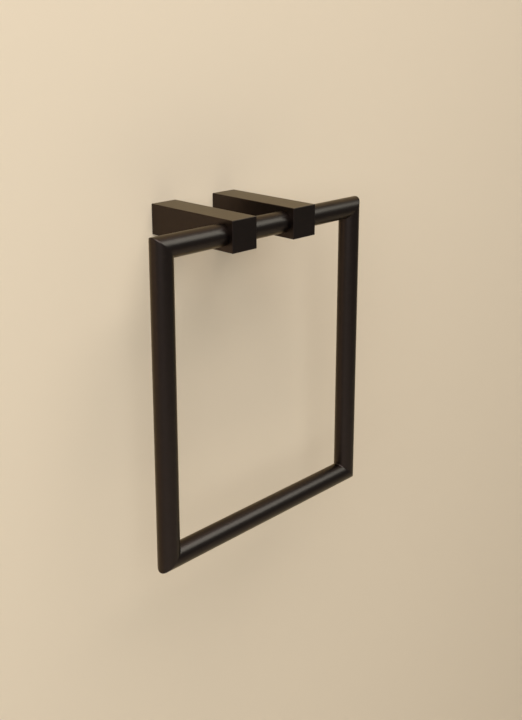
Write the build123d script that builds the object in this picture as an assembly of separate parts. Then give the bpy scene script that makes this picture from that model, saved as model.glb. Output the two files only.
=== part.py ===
from build123d import *
import math
import os

# Wall-mounted towel ring: a mitred ring of round tube carried by two square arms.
# The wall is the plane Y = 0, the front is towards -Y, and Z = 0 is the height of the top bar.
# Sizes are in millimetres.

# Ring
bar_diameter = 14.0  # outside of the round tube
bar_wall = 1.5
opening_width = 150.0  # clear width inside the ring
opening_height = 180.0  # clear height inside the ring

# Arms
arm_wall = 3.0  # metal left round the bar on each side of the square section
arm_length = 75.0  # from the wall to the front end
arm_pitch = 52.5  # centre to centre
edge_round = 0.4  # broken edges of the arms

# Wall spigots
flange_cover = 1.9  # arm metal left round the flange
flange_lip = 2.0  # flange beyond the stem
flange_thickness = 3.0
stem_length = 17.0  # in front of the flange
stem_chamfer = 0.5
wall_screw_hole = 4.5
countersink_rim = 1.2  # flat left round the countersink
groove_depth = 1.0  # of the V groove for the cone point
groove_from_wall = 10.0

# Headless screws under the arms
thread_diameter = 4.0
screw_recess = 0.5  # socket end above the arm's underside
screw_chamfer = 0.4  # at the socket end
socket_floor = 0.5  # metal between the socket and the point
flat_point_bevel = 0.5
cone_point_flat = 0.2  # radius of the blunted tip

# Fits, each on the radius or the end face
bar_clearance = 0.05
spigot_clearance = 0.1
bore_end_clearance = 0.5
thread_clearance = 0.05
seat_clearance = 0.02  # between a screw's point and its seat
drill_point_angle = 118.0

# Worked out from the sizes above
bar_radius = bar_diameter / 2
ring_width = opening_width + bar_diameter  # between the axes of the two sides
ring_height = opening_height + bar_diameter  # between the axes of top and bottom
arm_side = bar_diameter + 2 * arm_wall
bar_from_wall = arm_length - arm_side / 2  # the bar is centred in the arm's square end
flange_radius = arm_side / 2 - flange_cover - spigot_clearance
stem_radius = flange_radius - flange_lip
spigot_length = flange_thickness + stem_length
thread_radius = thread_diameter / 2
shank_radius = thread_radius - thread_clearance


def mitred_tube(axis_length):
    """A tube along X with 45 degree ends, longest on its +Z side. Its axis is measured mitre to mitre."""
    half = axis_length / 2
    section = Circle(bar_radius) - Circle(bar_radius - bar_wall)
    tube = extrude(Plane.YZ * section, amount=half + bar_diameter, both=True)
    outline = Polyline(
        (-half - bar_diameter, bar_diameter),
        (half + bar_diameter, bar_diameter),
        (half - bar_diameter, -bar_diameter),
        (-half + bar_diameter, -bar_diameter),
        close=True,
    )
    return tube & extrude(Plane.XZ * make_face(outline), amount=bar_diameter, both=True)


def ring_lengths():
    """The four tubes of the ring, each turned so that its longer side faces outwards."""
    middle = -ring_height / 2
    lengths = {
        "top_bar": (ring_width, 0, (0, 0)),
        "right_side": (ring_height, 90, (ring_width / 2, middle)),
        "bottom_bar": (ring_width, 180, (0, -ring_height)),
        "left_side": (ring_height, -90, (-ring_width / 2, middle)),
    }
    return {
        name: Pos(x, -bar_from_wall, z) * Rot(0, turn, 0) * mitred_tube(length)
        for name, (length, turn, (x, z)) in lengths.items()
    }


def spigot_bore():
    """The stepped blind bore in the back of an arm, with the cone that a drill leaves at its end."""
    drilled_radius = stem_radius + spigot_clearance
    drilled_depth = spigot_length + bore_end_clearance
    point_depth = drilled_radius / math.tan(math.radians(drill_point_angle / 2))
    pocket_radius = flange_radius + spigot_clearance
    pocket_depth = flange_thickness + bore_end_clearance
    profile = Polyline(
        (0, 0),
        (pocket_radius, 0),
        (pocket_radius, -pocket_depth),
        (drilled_radius, -pocket_depth),
        (drilled_radius, -drilled_depth),
        (0, -drilled_depth - point_depth),
        close=True,
    )
    return revolve(make_face(profile), Axis.Y)


def arm():
    """A square bar out from the wall, bored across for the ring and from behind for its spigot."""
    body = Pos(0, -arm_length / 2, 0) * Box(arm_side, arm_length, arm_side)
    edges_clear_of_wall = body.edges().sort_by(Axis.Y)[:-4]
    body = fillet(edges_clear_of_wall, edge_round)
    bar_bore = Rot(0, 90, 0) * Cylinder(bar_radius + bar_clearance, 2 * arm_side)
    body -= Pos(0, -bar_from_wall, 0) * bar_bore
    body -= spigot_bore()
    for from_wall in (groove_from_wall, bar_from_wall):
        tapped_hole = Pos(0, -from_wall, -arm_side / 2) * Cylinder(thread_radius, arm_side)
        body -= tapped_hole
    return body


def spigot():
    """A turned plug: a flange on the wall, a countersunk hole on its axis and a V groove round its stem."""
    hole_radius = wall_screw_hole / 2
    end_radius = stem_radius - stem_chamfer
    countersink_radius = end_radius - countersink_rim
    profile = Polyline(
        (hole_radius, 0),
        (flange_radius, 0),
        (flange_radius, -flange_thickness),
        (stem_radius, -flange_thickness),
        (stem_radius, -groove_from_wall + groove_depth),
        (stem_radius - groove_depth, -groove_from_wall),
        (stem_radius, -groove_from_wall - groove_depth),
        (stem_radius, -spigot_length + stem_chamfer),
        (end_radius, -spigot_length),
        (countersink_radius, -spigot_length),
        (hole_radius, -spigot_length + countersink_radius - hole_radius),
        close=True,
    )
    return revolve(make_face(profile), Axis.Y)


def headless_screw(from_wall, seat_height, point_radius):
    """A headless screw up from an arm's underside to a seat below the arm's axis, with a 90 degree point."""
    start = -arm_side / 2 + screw_recess
    tip = -seat_height - seat_clearance
    shoulder = tip - (shank_radius - point_radius)
    profile = Polyline(
        (0, start),
        (shank_radius - screw_chamfer, start),
        (shank_radius, start + screw_chamfer),
        (shank_radius, shoulder),
        (point_radius, tip),
        (0, tip),
        close=True,
    )
    screw = revolve(Plane.XZ * make_face(profile), Axis.Z)
    socket = RegularPolygon(thread_radius / 2, 6, major_radius=False)  # across flats is half the thread
    screw -= Pos(0, 0, start) * extrude(socket, amount=shoulder - socket_floor - start)
    return Pos(0, -from_wall, 0) * screw


def at_both_arms(piece):
    """The piece at the left and the right arm."""
    return [Pos(side * arm_pitch / 2, 0, 0) * piece for side in (-1, 1)]


parts = ring_lengths()
parts["left_arm"], parts["right_arm"] = at_both_arms(arm())
parts["left_spigot"], parts["right_spigot"] = at_both_arms(spigot())
groove_seat = stem_radius - groove_depth + cone_point_flat
spigot_screw = headless_screw(groove_from_wall, groove_seat, cone_point_flat)
bar_screw = headless_screw(bar_from_wall, bar_radius, shank_radius - flat_point_bevel)
parts["spigot_screws"] = Compound(children=at_both_arms(spigot_screw))
parts["bar_screws"] = Compound(children=at_both_arms(bar_screw))

os.makedirs("parts", exist_ok=True)
for name, part in parts.items():
    export_step(part, f"parts/{name}.step")
    print(f"{name}: {len(part.solids())} solids, {part.volume:.1f} cubic mm")
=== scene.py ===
# %% [markdown]
# # A black towel ring, finished in Blender
#
# The object is a rectangular ring of round tube that two square arms hold out from the wall.
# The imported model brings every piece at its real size, in metres, with the wall as the plane Y = 0,
# the front towards -Y and Z = 0 at the height of the top bar.
# This lesson dresses that model: it gives the ring its ground mitres and the screws their threads,
# makes the finishes, and sets up a plain studio. No piece is moved or resized.

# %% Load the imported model
import math

import bmesh
import bpy
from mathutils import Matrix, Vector


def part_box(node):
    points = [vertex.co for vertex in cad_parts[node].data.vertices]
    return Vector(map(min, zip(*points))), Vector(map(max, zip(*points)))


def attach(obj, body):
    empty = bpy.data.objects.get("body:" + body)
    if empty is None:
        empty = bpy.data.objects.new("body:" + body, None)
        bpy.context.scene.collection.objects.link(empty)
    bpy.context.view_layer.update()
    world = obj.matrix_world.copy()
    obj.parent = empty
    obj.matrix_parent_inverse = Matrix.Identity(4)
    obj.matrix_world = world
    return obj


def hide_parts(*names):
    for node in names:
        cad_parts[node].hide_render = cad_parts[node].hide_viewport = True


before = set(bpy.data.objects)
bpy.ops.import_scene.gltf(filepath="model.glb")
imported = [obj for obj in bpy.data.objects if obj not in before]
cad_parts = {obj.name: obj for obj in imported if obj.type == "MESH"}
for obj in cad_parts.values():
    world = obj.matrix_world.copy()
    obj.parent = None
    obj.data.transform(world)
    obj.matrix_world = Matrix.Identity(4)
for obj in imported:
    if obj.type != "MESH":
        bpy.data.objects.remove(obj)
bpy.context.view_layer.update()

print("Pieces in the packed model:", ", ".join(sorted(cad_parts)))

# %% [markdown]
# ## Measures
#
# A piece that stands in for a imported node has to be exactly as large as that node.
# The sizes could be typed in again, but then a change to the model would leave them behind.
# It is safer to read them from the nodes' own boxes. A mitred tube's box is as thick as the tube,
# and the ring's width between axes is its outer width less one tube.

# %% Read the measures from the nodes
bar_low, bar_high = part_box("top_bar")
side_low, side_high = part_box("left_side")
arm_low, arm_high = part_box("left_arm")

bar_diameter = bar_high.z - bar_low.z
ring_width = (bar_high.x - bar_low.x) - bar_diameter
ring_height = (side_high.z - side_low.z) - bar_diameter
ring_centre = Vector((0, (bar_low.y + bar_high.y) / 2, (side_low.z + side_high.z) / 2))
arm_side = arm_high.x - arm_low.x
arm_pitch = -(arm_low.x + arm_high.x)
print(f"Bar {bar_diameter * 1000:.1f} mm, ring {ring_width * 1000:.1f} x {ring_height * 1000:.1f} mm,")
print(f"arms {arm_side * 1000:.1f} mm square and {arm_pitch * 1000:.1f} mm apart")

# %% [markdown]
# ## Helpers for node trees
#
# Materials and Geometry Nodes are both trees of nodes. Wiring them by hand takes three lines a node,
# so one helper adds a node and feeds its inputs, with a plain value or with another node's output.
# Shapes that follow a rule need whole formulas, and in a tree every single sum is a Math node.
# The small class below stands for a number that flows through a tree. Python's own signs work on it,
# and each of them adds the Math node that does the same, so a formula can be read as a formula.

# %% Helpers that add nodes
def feed(tree, socket, value):
    """Give an input a plain value, or link it to another node's output."""
    if isinstance(value, Flow):
        value = value.socket
    if isinstance(value, bpy.types.NodeSocket):
        tree.links.new(value, socket)
    else:
        socket.default_value = value


def feed_inputs(tree, node, inputs):
    """Feed several inputs of a node, each by its name or its number."""
    for key, value in inputs.items():
        feed(tree, node.inputs[key], value)


def add_node(tree, kind, inputs=None, **settings):
    """Add a node, set its properties and feed its inputs."""
    node = tree.nodes.new(kind)
    for name, value in settings.items():
        setattr(node, name, value)
    feed_inputs(tree, node, inputs or {})
    return node


print("Nodes can be added and fed")

# %% Numbers that flow through a tree
class Flow:
    """A number that flows through a node tree. Reckoning with it adds Math nodes."""

    def __init__(self, tree, socket):
        self.tree = tree
        self.socket = socket

    def math(self, operation, *others):
        values = dict(enumerate((self, *others)))
        node = add_node(self.tree, "ShaderNodeMath", values, operation=operation)
        return Flow(self.tree, node.outputs[0])

    def __add__(self, other):
        return self.math("ADD", other)

    def __sub__(self, other):
        return self.math("SUBTRACT", other)

    def __mul__(self, other):
        return self.math("MULTIPLY", other)

    def __truediv__(self, other):
        return self.math("DIVIDE", other)

    def __mod__(self, other):
        return self.math("MODULO", other)

    def __neg__(self):
        return self * -1

    def __abs__(self):
        return self.math("ABSOLUTE")

    def whole(self):
        return self.math("FLOOR")

    def no_more_than(self, other):
        return self.math("MINIMUM", other)

    def at_least(self, other):
        return self.math("MAXIMUM", other)

    def reaches(self, other):
        """One from the other number upwards, and nought below it."""
        return -self.math("LESS_THAN", other) + 1


print("Numbers in a tree can be reckoned with")

# %% [markdown]
# ## The satin black coat
#
# All that shows from the front is one baked-on coat. It is nearly black, a little warm, and satin:
# faces seen at a glancing angle turn light because they mirror the wall, and the round bars carry
# one soft line of light.
# The first thought is a black paint with a gloss on it. But paint has a dull share, which lies over the
# whole surface as a grey veil, and here the darkest faces show none: all their light is mirrored.
# So the shader is told that this is a metal, a very dark one. Its base colour is then the share of
# light that is mirrored face-on, a few hundredths as on any lacquer, and its specular tint is the tone
# of the mirror at glancing angles.
# Close up such a coat isn't glass-smooth. It has the gentle waviness of a coat that flowed while it was
# hot, and a fine grain on top. Both are noise on Object coordinates, so the pattern is fixed to the
# object at its real scale. They drive a very low bump and a slight change of roughness and tone.

# %% Helpers for finishes
def new_material(name):
    """A new material, with its tree and its principled shader."""
    material = bpy.data.materials.new(name)
    material.use_nodes = True
    tree = material.node_tree
    return material, tree, tree.nodes["Principled BSDF"]


def noise_on_object(tree, feature_size, detail=2.0):
    """Noise with features of about the given size in metres, fixed to the object."""
    place = add_node(tree, "ShaderNodeTexCoord").outputs["Object"]
    inputs = {"Vector": place, "Scale": 1 / feature_size, "Detail": detail}
    return add_node(tree, "ShaderNodeTexNoise", inputs).outputs["Fac"]


def between_colours(tree, share, colours):
    """A colour between two others, as far along as the share says."""
    inputs = {0: share, 6: colours[0], 7: colours[1]}
    return add_node(tree, "ShaderNodeMix", inputs, data_type="RGBA").outputs[2]


def between_limits(tree, share, limits):
    """A number between two others, as far along as the share says."""
    inputs = {"Value": share, "To Min": limits[0], "To Max": limits[1]}
    return add_node(tree, "ShaderNodeMapRange", inputs).outputs["Result"]


def relief(tree, pattern, height, under=None):
    """A bump as high as given in metres, on top of the one under it where there is one."""
    inputs = {"Height": pattern, "Distance": height}
    if under:
        inputs["Normal"] = under
    return add_node(tree, "ShaderNodeBump", inputs).outputs[0]


print("Finishes can be mixed")

# %% Make the coat
coat_tones = ((0.040, 0.0295, 0.0250, 1.0), (0.0455, 0.0335, 0.0285, 1.0))
coat_glancing_tint = (1.0, 0.93, 0.78, 1.0)
coat_roughness = (0.31, 0.36)
coat_wave_size = 0.0035
coat_wave_height = 0.000012
coat_grain_size = 0.00045
coat_grain_height = 0.000004


def satin_black_coat():
    """The coat on the ring and the arms."""
    material, tree, shader = new_material("satin black coat")
    wave = noise_on_object(tree, coat_wave_size)
    grain = noise_on_object(tree, coat_grain_size, detail=1.0)
    waviness = relief(tree, wave, coat_wave_height)
    feed_inputs(tree, shader, {
        "Base Color": between_colours(tree, wave, coat_tones),
        "Metallic": 1.0,
        "Roughness": between_limits(tree, grain, coat_roughness),
        "Specular Tint": coat_glancing_tint,
        "Normal": relief(tree, grain, coat_grain_height, under=waviness),
    })
    return material


black_coat = satin_black_coat()
print("Made", black_coat.name)

# %% [markdown]
# ## Turned steel
#
# Behind each arm hides a turned steel plug that a screw fixes to the wall. A lathe leaves fine rings
# round the turning axis. Rings could be modelled, but at a quarter of a millimetre a bump is enough.
# The axis runs along Y through the middle of each arm, so the distance from it gives the rings on
# a face, and the place along Y gives the rings on a shank.
# The two plugs mirror each other, so taking the size of X without its sign serves both at once.

# %% Make the turned steel
steel_colour = (0.56, 0.55, 0.53, 1.0)
steel_roughness = (0.22, 0.38)
steel_cloud_size = 0.004
tool_mark_pitch = 0.00025
tool_mark_height = 0.000006


def object_axes(tree):
    """The three Object coordinates of the point that is being shaded."""
    place = add_node(tree, "ShaderNodeTexCoord").outputs["Object"]
    split = add_node(tree, "ShaderNodeSeparateXYZ", {0: place})
    return [Flow(tree, socket) for socket in split.outputs]


def turned_steel():
    """Bare steel with lathe rings round each plug's own axis."""
    material, tree, shader = new_material("turned steel")
    x, y, z = object_axes(tree)
    aside = abs(x) - arm_pitch / 2
    from_axis = (aside * aside + z * z).math("SQRT")
    ripple = ((from_axis + y) * (math.tau / tool_mark_pitch)).math("SINE")
    cloud = noise_on_object(tree, steel_cloud_size)
    feed_inputs(tree, shader, {
        "Base Color": steel_colour,
        "Metallic": 1.0,
        "Roughness": between_limits(tree, cloud, steel_roughness),
        "Normal": relief(tree, ripple, tool_mark_height),
    })
    return material


bare_steel = turned_steel()
print("Made", bare_steel.name)

# %% [markdown]
# ## Blackened steel
#
# The headless screws under the arms are blackened in a hot bath, which leaves a thin dark oxide on the
# metal. Under it the metal still shines, so the shader's metallic value is one, and the colour is a dark
# blue-grey that is a little uneven, as an oxide is.

# %% Make the blackened steel
oxide_tones = ((0.045, 0.046, 0.050, 1.0), (0.085, 0.086, 0.092, 1.0))
oxide_roughness = (0.30, 0.45)
oxide_cloud_size = 0.0008


def blackened_steel():
    """Dark oxide on the screws."""
    material, tree, shader = new_material("blackened steel")
    cloud = noise_on_object(tree, oxide_cloud_size)
    feed_inputs(tree, shader, {
        "Base Color": between_colours(tree, cloud, oxide_tones),
        "Metallic": 1.0,
        "Roughness": between_limits(tree, cloud, oxide_roughness),
    })
    return material


black_screw = blackened_steel()
print("Made", black_screw.name)

# %% [markdown]
# ## The ring
#
# The real ring is four lengths of tube cut at 45 degrees, welded into a rectangle and ground flush.
# A curve with a round bevel looks like the quick way, but Blender doesn't widen the section at a sharp
# corner as a mitre does, so the corners come out pinched.
# There is a simple rule to use instead. Every straight line along the tube's surface is part of a
# rectangle: the ring's own rectangle, made larger or smaller by how far out that line lies.
# So a flat grid is enough. One direction of it runs round the rectangle and the other round the section,
# and Set Position puts each point where the rule says. The points crowd towards the corners, which keeps
# the shading of the long straight faces flat.
# The tree also marks the mitre edges, for a Bevel modifier that eases them as grinding and coating do.

# %% Helpers for the trees of shapes
def group_with_inputs(name, wanted):
    """A Geometry Nodes tree with the named inputs, as numbers to reckon with and by their identifiers."""
    tree = bpy.data.node_groups.new(name, "GeometryNodeTree")
    tree.interface.new_socket("Geometry", in_out="OUTPUT", socket_type="NodeSocketGeometry")
    identifiers = {}
    for label, kind in wanted.items():
        socket = tree.interface.new_socket(label, in_out="INPUT", socket_type="NodeSocket" + kind)
        identifiers[label] = socket.identifier
    entry = tree.nodes.new("NodeGroupInput")
    given = {label: Flow(tree, entry.outputs[label]) for label in wanted}
    return tree, given, identifiers


def choose(tree, index, values):
    """One of the values, picked by the index."""
    switch = tree.nodes.new("GeometryNodeIndexSwitch")
    switch.data_type = "FLOAT"
    while len(switch.index_switch_items) < len(values):
        switch.index_switch_items.new()
    feed(tree, switch.inputs[0], index)
    for number, value in enumerate(values, start=1):
        feed(tree, switch.inputs[number], value)
    return Flow(tree, switch.outputs[0])


def finish_tree(tree, geometry, material):
    """Realize, set the material and wire the output."""
    real = add_node(tree, "GeometryNodeRealizeInstances", {"Geometry": geometry})
    inputs = {"Geometry": real.outputs[0], "Material": material}
    painted = add_node(tree, "GeometryNodeSetMaterial", inputs)
    add_node(tree, "NodeGroupOutput", {0: painted.outputs[0]})


print("Trees of shapes can be started and finished")

# %% Helpers that shape a flat grid
joining_distance = 1e-6
half_step = 0.5  # tells one whole number from the next


def grid_with_places(tree, columns, rows):
    """A flat grid, with the column and the row of each of its points."""
    grid = add_node(tree, "GeometryNodeMeshGrid", {"Vertices X": columns, "Vertices Y": rows})
    index = Flow(tree, add_node(tree, "GeometryNodeInputIndex").outputs[0])
    return grid.outputs[0], (index / rows).whole(), index % rows


def shape_grid(tree, grid, x, y, z):
    """Move the grid's points to their places and join the ones that meet."""
    place = add_node(tree, "ShaderNodeCombineXYZ", {0: x, 1: y, 2: z})
    inputs = {"Geometry": grid, "Position": place.outputs[0]}
    moved = add_node(tree, "GeometryNodeSetPosition", inputs)
    inputs = {"Geometry": moved.outputs[0], "Distance": joining_distance}
    return add_node(tree, "GeometryNodeMergeByDistance", inputs).outputs[0]


print("Points closer than", joining_distance, "m are joined")

# %% Build the tree of the mitred ring
ring_sides = 4


def mitred_ring_tree():
    """A rectangle of round bar with mitred corners, in the plane that faces -Y."""
    tree, given, identifiers = group_with_inputs("mitred ring", {
        "Width": "Float",
        "Height": "Float",
        "Bar Diameter": "Float",
        "From Wall": "Float",
        "Middle Height": "Float",
        "Steps Along": "Int",
        "Steps Round": "Int",
        "Material": "Material",
    })
    steps_along = given["Steps Along"]
    grid, column, row = grid_with_places(tree, steps_along * ring_sides + 1, given["Steps Round"] + 1)
    side = (column / steps_along).whole() % ring_sides
    step = column % steps_along
    forward = (step * math.pi / steps_along).math("COSINE")
    turn = row * math.tau / given["Steps Round"]
    radius = given["Bar Diameter"] / 2
    outwards = radius * turn.math("COSINE")
    deep = radius * turn.math("SINE")

    # The sides follow each other as top, right, bottom and left.
    x = (given["Width"] / 2 + outwards) * choose(tree, side, [-forward, 1.0, forward, -1.0])
    y = deep - given["From Wall"]
    up = (given["Height"] / 2 + outwards) * choose(tree, side, [1.0, forward, -1.0, -forward])
    z = up + given["Middle Height"]

    on_mitre = add_node(tree, "FunctionNodeCompare", {0: step, 1: half_step}, operation="LESS_THAN")
    at_points = add_node(tree, "GeometryNodeFieldOnDomain", {0: on_mitre.outputs[0]},
                         data_type="BOOLEAN", domain="POINT")
    inputs = {"Geometry": grid, "Name": "bevel_weight_edge", "Value": at_points.outputs[0]}
    marked = add_node(tree, "GeometryNodeStoreNamedAttribute", inputs, data_type="FLOAT", domain="EDGE")
    ring = shape_grid(tree, marked.outputs[0], x, y, z)
    smooth = add_node(tree, "GeometryNodeSetShadeSmooth", {"Geometry": ring})
    finish_tree(tree, smooth.outputs[0], given["Material"])
    return tree, identifiers


ring_tree, ring_inputs = mitred_ring_tree()
print("Ring tree has", len(ring_tree.nodes), "nodes and the inputs", ", ".join(ring_inputs))

# %% [markdown]
# The tree is run by a modifier on an empty mesh. Its inputs are set by their identifiers before the object
# is looked at for the first time. A second modifier eases the marked edges. Then the finished shape is
# taken as a plain mesh, because the export keeps meshes and drops what modifiers only instance.

# %% Helpers that turn a tree into a piece
def piece_from_tree(name, tree, identifiers, settings, ease=0.0, ease_segments=2):
    """Run a tree with its settings and keep the result as a plain mesh object."""
    worker = bpy.data.objects.new(name + "_worker", bpy.data.meshes.new(name + "_worker"))
    bpy.context.scene.collection.objects.link(worker)
    modifier = worker.modifiers.new("shape", "NODES")
    modifier.node_group = tree
    for label, value in settings.items():
        modifier[identifiers[label]] = value
    if ease:
        bevel = worker.modifiers.new("ease", "BEVEL")
        bevel.limit_method = "WEIGHT"
        bevel.width = ease
        bevel.segments = ease_segments
    scene_state = bpy.context.evaluated_depsgraph_get()
    mesh = bpy.data.meshes.new_from_object(worker.evaluated_get(scene_state))
    bpy.data.objects.remove(worker)
    mesh.name = name
    piece = bpy.data.objects.new(name, mesh)
    bpy.context.scene.collection.objects.link(piece)
    print("Made", name, "with", len(mesh.polygons), "faces")
    return piece


def point_faces_outwards(mesh):
    """Turn every face of a closed mesh so that it points outwards."""
    shape = bmesh.new()
    shape.from_mesh(mesh)
    bmesh.ops.recalc_face_normals(shape, faces=shape.faces)
    shape.to_mesh(mesh)
    shape.free()


print("Trees can be turned into pieces")

# %% Make the ring
mitre_ease = 0.0003
steps_along_side = 24
steps_round_bar = 72
ring_settings = {
    "Width": ring_width,
    "Height": ring_height,
    "Bar Diameter": bar_diameter,
    "From Wall": -ring_centre.y,
    "Middle Height": ring_centre.z,
    "Steps Along": steps_along_side,
    "Steps Round": steps_round_bar,
    "Material": black_coat,
}
ring = piece_from_tree("ring", ring_tree, ring_inputs, ring_settings, ease=mitre_ease)
point_faces_outwards(ring.data)
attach(ring, "root")
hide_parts("top_bar", "right_side", "bottom_bar", "left_side")

# %% [markdown]
# ## The headless screws
#
# Under each arm two headless screws hold things together: one presses on the bar, and the other bites into
# the groove of the wall plug. From below each shows a chamfered end with a hexagon socket, and inside its
# tapped hole it carries a fine thread.
# A thread is a wave wound round the shank: a section at any turn shows the same notches, only a little
# further along. So the same way as for the ring serves here. One direction of a flat grid runs round the
# screw, and the other runs along its profile: out over the socket's floor, down its walls, over the end
# face, along the thread and in over the point.
# The chamfer and the point are cones that cut the thread off, so the smallest of three radii counts.
# Both arms have the same screws, so the tree ends by putting one on each point of a line of two.

# %% Shape the thread
notch_angle = math.radians(60)
crest_flat = 1 / 8  # share of the pitch
thread_depth = 0.613  # share of the pitch


def threaded_radius(given, height, turn):
    """The thread's radius at a height and a turn, with its notches cut off at top and root."""
    pitch = given["Thread Pitch"]
    wave = height / pitch - turn / math.tau
    from_crest = abs((wave - wave.whole()) * 2 - 1) * pitch / 2
    depth = (from_crest - pitch * (crest_flat / 2)) / math.tan(notch_angle / 2)
    return given["Diameter"] / 2 - depth.at_least(0.0).no_more_than(pitch * thread_depth)


print(f"The thread is cut to {thread_depth} of its pitch")

# %% Build the tree of the headless screws
arm_count = 2
socket_sides = 6
drill_point_rise = 1 / 4  # share of the socket's half width
crease_angle = math.radians(35)
stations_before_shank = 3


def crisp_edges(tree, geometry):
    """Smooth shading, apart from the edges that bend by more than the crease angle."""
    bend = add_node(tree, "GeometryNodeInputMeshEdgeAngle").outputs["Unsigned Angle"]
    sharp = add_node(tree, "FunctionNodeCompare", {0: bend, 1: crease_angle}, operation="GREATER_THAN")
    smooth = add_node(tree, "GeometryNodeSetShadeSmooth", {"Geometry": geometry})
    inputs = {"Geometry": smooth.outputs[0], "Selection": sharp.outputs[0], "Shade Smooth": False}
    return add_node(tree, "GeometryNodeSetShadeSmooth", inputs, domain="EDGE").outputs[0]


def one_under_each_arm(tree, given, screw):
    """The screw on both points of a line that runs from arm to arm."""
    start = add_node(tree, "ShaderNodeCombineXYZ", {0: -given["Spacing"] / 2, 1: -given["From Wall"]})
    stride = add_node(tree, "ShaderNodeCombineXYZ", {0: given["Spacing"]})
    inputs = {"Count": arm_count, "Start Location": start.outputs[0], "Offset": stride.outputs[0]}
    line = add_node(tree, "GeometryNodeMeshLine", inputs)
    inputs = {"Points": line.outputs[0], "Instance": screw}
    return add_node(tree, "GeometryNodeInstanceOnPoints", inputs).outputs[0]


def headless_screws_tree():
    """Two screws with their socket ends down, one under each arm."""
    tree, given, identifiers = group_with_inputs("headless screws", {
        "Spacing": "Float",
        "From Wall": "Float",
        "Socket End": "Float",
        "Tip": "Float",
        "Diameter": "Float",
        "Thread Pitch": "Float",
        "End Chamfer": "Float",
        "Point Radius": "Float",
        "Across Flats": "Float",
        "Socket Depth": "Float",
        "Steps Along": "Int",
        "Steps Round": "Int",
        "Material": "Material",
    })
    steps_along = given["Steps Along"]
    last_on_shank = steps_along + stations_before_shank
    grid, column, row = grid_with_places(tree, last_on_shank + 2, given["Steps Round"] + 1)
    turn = row * math.tau / given["Steps Round"]
    end, tip = given["Socket End"], given["Tip"]
    socket_floor = end + given["Socket Depth"]
    half_across = given["Across Flats"] / 2
    from_flat = turn % (math.tau / socket_sides) - math.pi / socket_sides
    hexagon = half_across / from_flat.math("COSINE")
    drill_point = socket_floor + half_across * drill_point_rise

    height = end + (tip - end) * (column - stations_before_shank) / steps_along
    chamfer = given["Diameter"] / 2 - given["End Chamfer"] + height - end
    point = given["Point Radius"] + tip - height
    shank = threaded_radius(given, height, turn).no_more_than(chamfer).no_more_than(point)

    # The profile's stations are the socket's middle, its floor, its mouth, the shank and the tip's middle.
    station = column.no_more_than(stations_before_shank) + column.reaches(last_on_shank + half_step)
    radius = choose(tree, station, [0.0, hexagon, hexagon, shank, 0.0])
    z = choose(tree, station, [drill_point, socket_floor, end, height, tip])
    screw = shape_grid(tree, grid, radius * turn.math("COSINE"), radius * turn.math("SINE"), z)
    pair = one_under_each_arm(tree, given, crisp_edges(tree, screw))
    finish_tree(tree, pair, given["Material"])
    return tree, identifiers


screw_tree, screw_inputs = headless_screws_tree()
print("Screw tree has", len(screw_tree.nodes), "nodes and the inputs", ", ".join(screw_inputs))

# %% [markdown]
# The two kinds differ only in length and point. Each takes its place, its length and its diameter from the
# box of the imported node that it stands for. The thread is the usual one for this diameter.

# %% Make the screws
thread_pitch = 0.0007
rows_per_pitch = 12
steps_round_screw = 48
screw_end_chamfer = 0.0004
socket_across_flats = 0.0020
point_floor = 0.0005
cone_point_radius = 0.0002
flat_point_radius = 0.00145


def threaded_screws(node, point_radius):
    """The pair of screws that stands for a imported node."""
    low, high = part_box(node)
    diameter = high.y - low.y
    shoulder = high.z - (diameter / 2 - point_radius)
    length = high.z - low.z
    settings = {
        "Spacing": arm_pitch,
        "From Wall": -(low.y + high.y) / 2,
        "Socket End": low.z,
        "Tip": high.z,
        "Diameter": diameter,
        "Thread Pitch": thread_pitch,
        "End Chamfer": screw_end_chamfer,
        "Point Radius": point_radius,
        "Across Flats": socket_across_flats,
        "Socket Depth": shoulder - point_floor - low.z,
        "Steps Along": round(length / thread_pitch * rows_per_pitch),
        "Steps Round": steps_round_screw,
        "Material": black_screw,
    }
    screws = piece_from_tree(node + "_threaded", screw_tree, screw_inputs, settings)
    point_faces_outwards(screws.data)
    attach(screws, "root")
    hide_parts(node)


threaded_screws("spigot_screws", cone_point_radius)
threaded_screws("bar_screws", flat_point_radius)

# %% [markdown]
# ## The arms and the wall plugs
#
# The arms are plain square bars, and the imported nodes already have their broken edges, the cross bores for
# the bar and the hidden bores for the wall plugs. The plugs are true turned shapes as well.
# They could be modelled again, but a shape that is right stays, so only the finishes are new.

# %% Coat the arms and finish the plugs
def refinish(node, material):
    """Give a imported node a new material."""
    for material_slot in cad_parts[node].material_slots:
        material_slot.material = material
    print("Refinished", node, "with", material.name)


for node in ("left_arm", "right_arm"):
    refinish(node, black_coat)
for node in ("left_spigot", "right_spigot"):
    refinish(node, bare_steel)

# %% [markdown]
# ## The studio
#
# The ring hangs on a wall, so the backdrop is a plain pale wall that the arms' ends touch, and a pale floor
# well below. Both are stage: they aren't part of the object.
# A dark satin coat shows little of its own and much of what stands round it, so the wall's colour and
# light matter as much to the coat as its own colour does.
# The wall is only seen from its front. Seen from behind it is clear, so that the back of the object
# can be looked at too, and it has an opening behind each arm that lets light reach the plugs there.
# The floor could end in a hard horizon. Instead it thins out with distance, until only the plain
# surrounding is left.

# %% Helpers for the stage
stage_roughness = 0.9
stage_gloss = 0.2


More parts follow.
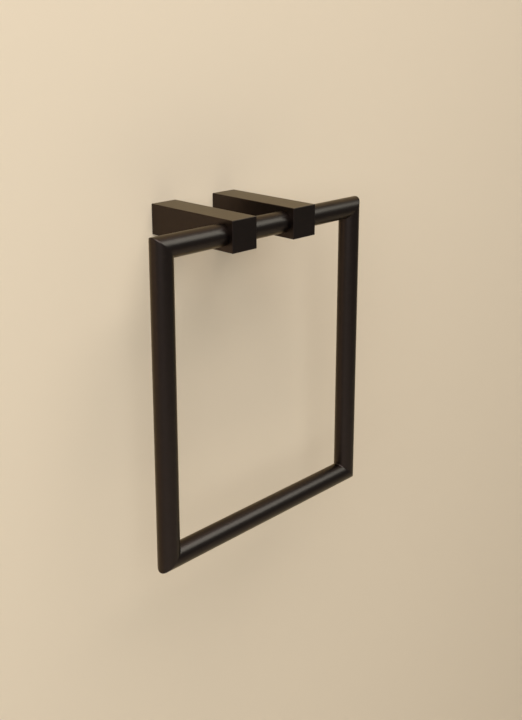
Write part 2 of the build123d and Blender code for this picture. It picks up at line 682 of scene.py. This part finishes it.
def stage_paint(name, colour, fade=None):
    """Plain paint, clear from behind. With a fade it thins out between two distances from the middle."""
    material, tree, shader = new_material(name)
    feed_inputs(tree, shader, {
        "Base Color": colour,
        "Roughness": stage_roughness,
        "Specular IOR Level": stage_gloss,
    })
    share_clear = Flow(tree, add_node(tree, "ShaderNodeNewGeometry").outputs["Backfacing"])
    if fade:
        x, y, _ = object_axes(tree)
        distance = (x * x + y * y).math("SQRT")
        inputs = {"Value": distance, "From Min": fade[0], "From Max": fade[1]}
        thinned = add_node(tree, "ShaderNodeMapRange", inputs, interpolation_type="SMOOTHSTEP")
        share_clear = share_clear.at_least(thinned.outputs["Result"])
    clear = add_node(tree, "ShaderNodeBsdfTransparent").outputs[0]
    either = add_node(tree, "ShaderNodeMixShader", {0: share_clear, 1: shader.outputs[0], 2: clear})
    tree.links.new(either.outputs[0], tree.nodes["Material Output"].inputs["Surface"])
    return material


def stage_sheet(name, rectangles, material):
    """One stage object of rectangles, each given by its four corners in order."""
    mesh = bpy.data.meshes.new(name)
    points = [corner for rectangle in rectangles for corner in rectangle]
    faces = [tuple(range(4 * i, 4 * i + 4)) for i in range(len(rectangles))]
    mesh.from_pydata(points, [], faces)
    mesh.materials.append(material)
    sheet = bpy.data.objects.new(name, mesh)
    bpy.context.scene.collection.objects.link(sheet)
    print("Made", name, "in", len(rectangles), "rectangles")
    return sheet


print("The stage can be painted and built")

# %% Build the wall
wall_gap = 0.0002
wall_left, wall_right = -3.0, 3.0
wall_top = 2.0
wall_colour = (0.69, 0.557, 0.395, 1.0)
floor_height = -0.9
opening_inset = 0.001


def wall_rectangles():
    """The wall's front, cut into rectangles that leave an opening behind each arm."""
    half_hole = arm_side / 2 - opening_inset
    middle = arm_pitch / 2
    across = [wall_left, -middle - half_hole, -middle + half_hole,
              middle - half_hole, middle + half_hole, wall_right]
    upright = [floor_height, -half_hole, half_hole, wall_top]
    open_cells = {(1, 1), (3, 1)}
    rectangles = []
    for i, (left, right) in enumerate(zip(across, across[1:])):
        for j, (low, high) in enumerate(zip(upright, upright[1:])):
            if (i, j) not in open_cells:
                rectangles.append([(left, wall_gap, low), (right, wall_gap, low),
                                   (right, wall_gap, high), (left, wall_gap, high)])
    return rectangles


wall = stage_sheet("wall", wall_rectangles(), stage_paint("wall paint", wall_colour))

# %% Build the floor
floor_colour = (0.40, 0.375, 0.335, 1.0)
floor_fade = (1.2, 4.2)
reach = floor_fade[1]
floor_corners = [(-reach, -reach, floor_height), (reach, -reach, floor_height),
                 (reach, reach, floor_height), (-reach, reach, floor_height)]
stage_sheet("floor", [floor_corners], stage_paint("floor paint", floor_colour, floor_fade))

# %% [markdown]
# ## Light
#
# The light is that of a calm room. A large soft lamp at the left, a little cool, gives the wall its slow
# change from light to dark. A second one hangs overhead, close to the wall, for the tops of arms and bars.
# Small lamps would throw hard shadows. These two are many times wider than the object, so the shadows on
# the wall stay faint.
# A third lamp at the upper right draws the line along the round bars. It would throw a second set of
# shadows, so it is kept off the wall, as with a flag beside a lamp in a studio.
# A plain white surrounding at a low strength fills in, so that nothing goes quite black.
# A lamp's power sets how bright a white card would be, so the levels are chosen to show a colour about as
# it is written.

# %% Place the lamps
def soft_light(name, place, aim, size, power, colour):
    """An oval area lamp at a place, turned to its aim."""
    lamp = bpy.data.lights.new(name, "AREA")
    lamp.shape = "ELLIPSE"
    lamp.size, lamp.size_y = size
    lamp.energy = power
    lamp.color = colour
    holder = bpy.data.objects.new(name, lamp)
    holder.location = place
    holder.rotation_euler = (Vector(aim) - Vector(place)).to_track_quat("-Z", "Y").to_euler()
    bpy.context.scene.collection.objects.link(holder)
    print("Placed the", name, "lamp with", power, "W")
    return holder


def keep_off(lamp, sheet):
    """Leave a sheet of the stage out of a lamp's light, as a flag beside a lamp does."""
    shaded = bpy.data.collections.new(lamp.name + " is kept off")
    lamp.light_linking.receiver_collection = shaded
    shaded.objects.link(sheet)
    shaded.collection_objects[0].light_linking.link_state = "EXCLUDE"


soft_light("side", place=(-1.67, -1.23, 1.17), aim=(0.0, -0.065, -0.1), size=(2.6, 2.6),
           power=75.0, colour=(0.85, 0.92, 1.0))
soft_light("overhead", place=(0.0, -0.81, 2.18), aim=(0.0, -0.065, -0.1), size=(2.4, 2.4),
           power=62.0, colour=(1.0, 0.98, 0.98))
line_lamp = soft_light("line", place=(1.2, -1.28, 1.31), aim=(0.0, -0.065, 0.0), size=(1.4, 1.4),
                       power=22.0, colour=(0.8, 1.0, 1.0))
keep_off(line_lamp, wall)

# %% Fill in with a plain surrounding
surrounding_colour = (1.0, 1.0, 1.0, 1.0)
surrounding_strength = 0.2
world = bpy.data.worlds.new("plain surrounding")
world.use_nodes = True
background = world.node_tree.nodes["Background"]
feed_inputs(world.node_tree, background, {"Color": surrounding_colour, "Strength": surrounding_strength})
bpy.context.scene.world = world
bpy.context.scene.view_settings.view_transform = "Standard"
print("The surrounding has a strength of", surrounding_strength)

# %% [markdown]
# ## Camera
#
# The camera stands to the left of the ring and a little above it, about 0.6 m away. It could be set by eye,
# but its place and lens come from matching the ring's corners, so the ring lies where it should.
# The ring hangs above the middle of the picture, so the lens is shifted a little down instead of
# tilting the camera further.

# %% Set the camera
camera_place = (-0.41234, -0.47266, 0.12706)
camera_azimuth = math.radians(-45.138)
camera_elevation = math.radians(13.452)
camera_lens = 47.918
camera_shift = -0.1611
camera_sensor = 36.0

camera_data = bpy.data.cameras.new("camera")
camera_data.sensor_width = camera_sensor
camera_data.lens = camera_lens
camera_data.shift_y = camera_shift
camera = bpy.data.objects.new("camera", camera_data)
camera.location = camera_place
camera.rotation_euler = (math.pi / 2 - camera_elevation, 0, camera_azimuth)
bpy.context.scene.collection.objects.link(camera)
bpy.context.scene.camera = camera
print("Camera lens", camera_lens, "mm")
